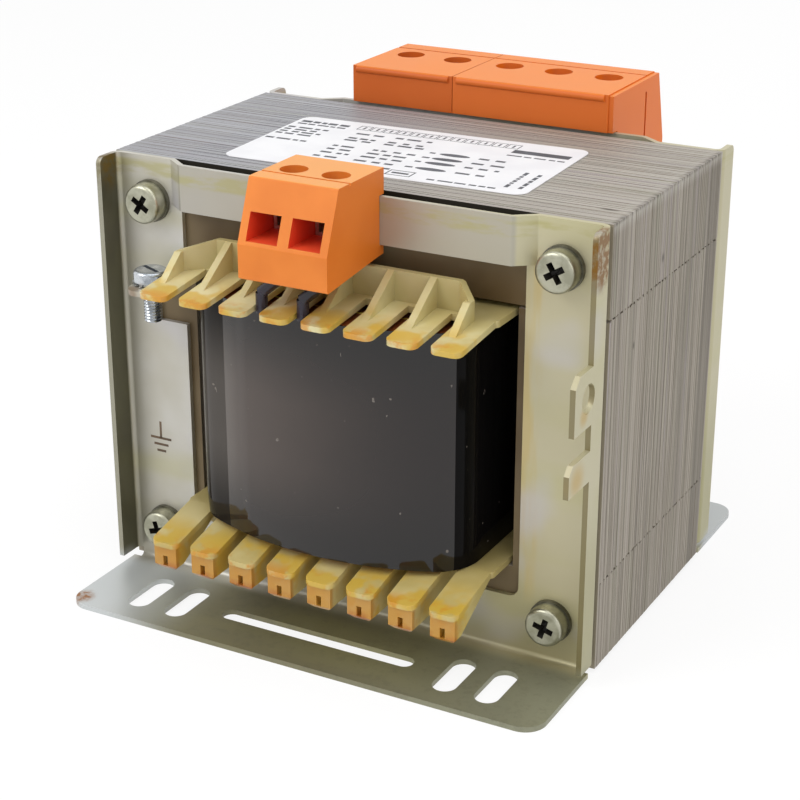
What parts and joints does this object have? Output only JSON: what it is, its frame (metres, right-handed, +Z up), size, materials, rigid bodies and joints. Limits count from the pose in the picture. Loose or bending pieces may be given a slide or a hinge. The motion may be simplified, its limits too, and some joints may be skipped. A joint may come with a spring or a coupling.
{
  "type": "laminated chassis transformer",
  "caption": "Open-frame mains transformer: E and I sheet core, pressed end frames with slotted feet, bobbin with finger combs, screw terminals on the top bars.",
  "frame": {"origin": "middle of the slot pattern of the two feet, on the plane that they stand on", "axes": "+X across the core to the right, -Y the front with the two-pole terminal, +Z up"},
  "size_m": [0.12, 0.1272, 0.1103],
  "materials": {
    "core_steel": "bare electrical steel sheet edges, varnished",
    "plated_sheet": "yellow zinc plated sheet",
    "plated_screws": "bright zinc plated",
    "bobbin_nylon": "translucent cream moulding with amber varnish",
    "black_wrap": "glossy black film",
    "insulation_film": "yellow film",
    "copper_wire": "enamelled copper",
    "orange_plastic": "orange moulding, satin",
    "clamp_metal": "nickel plated",
    "lead_sleeve": "dark sleeve",
    "label_paper": "white adhesive label"
  },
  "bodies": {
    "root": {"e_laminations_up": "core_steel", "e_laminations_down": "core_steel", "i_laminations_top": "core_steel", "i_laminations_bottom": "core_steel", "front_frame": "plated_sheet", "rear_frame": "plated_sheet", "core_screws": "plated_screws", "front_washers": "plated_screws", "rear_washers": "plated_screws", "core_nuts": "plated_screws", "earth_screw": "plated_screws", "earth_washer": "plated_screws", "bobbin": "bobbin_nylon", "primary_winding": "copper_wire", "winding_insulation": "insulation_film", "secondary_winding": "copper_wire", "outer_wrap": "black_wrap", "front_terminal_housing": "orange_plastic", "front_terminal_clamps": "clamp_metal", "front_terminal_screws": "clamp_metal", "front_leads": "lead_sleeve", "label": "label_paper", "rear_left_terminal_housing": "orange_plastic", "rear_left_terminal_clamps": "clamp_metal", "rear_left_terminal_screws": "clamp_metal", "rear_left_leads": "lead_sleeve", "rear_right_terminal_housing": "orange_plastic", "rear_right_terminal_clamps": "clamp_metal", "rear_right_terminal_screws": "clamp_metal", "rear_right_leads": "lead_sleeve", "rear_terminal_end_plate": "orange_plastic"}
  },
  "joints": []
}
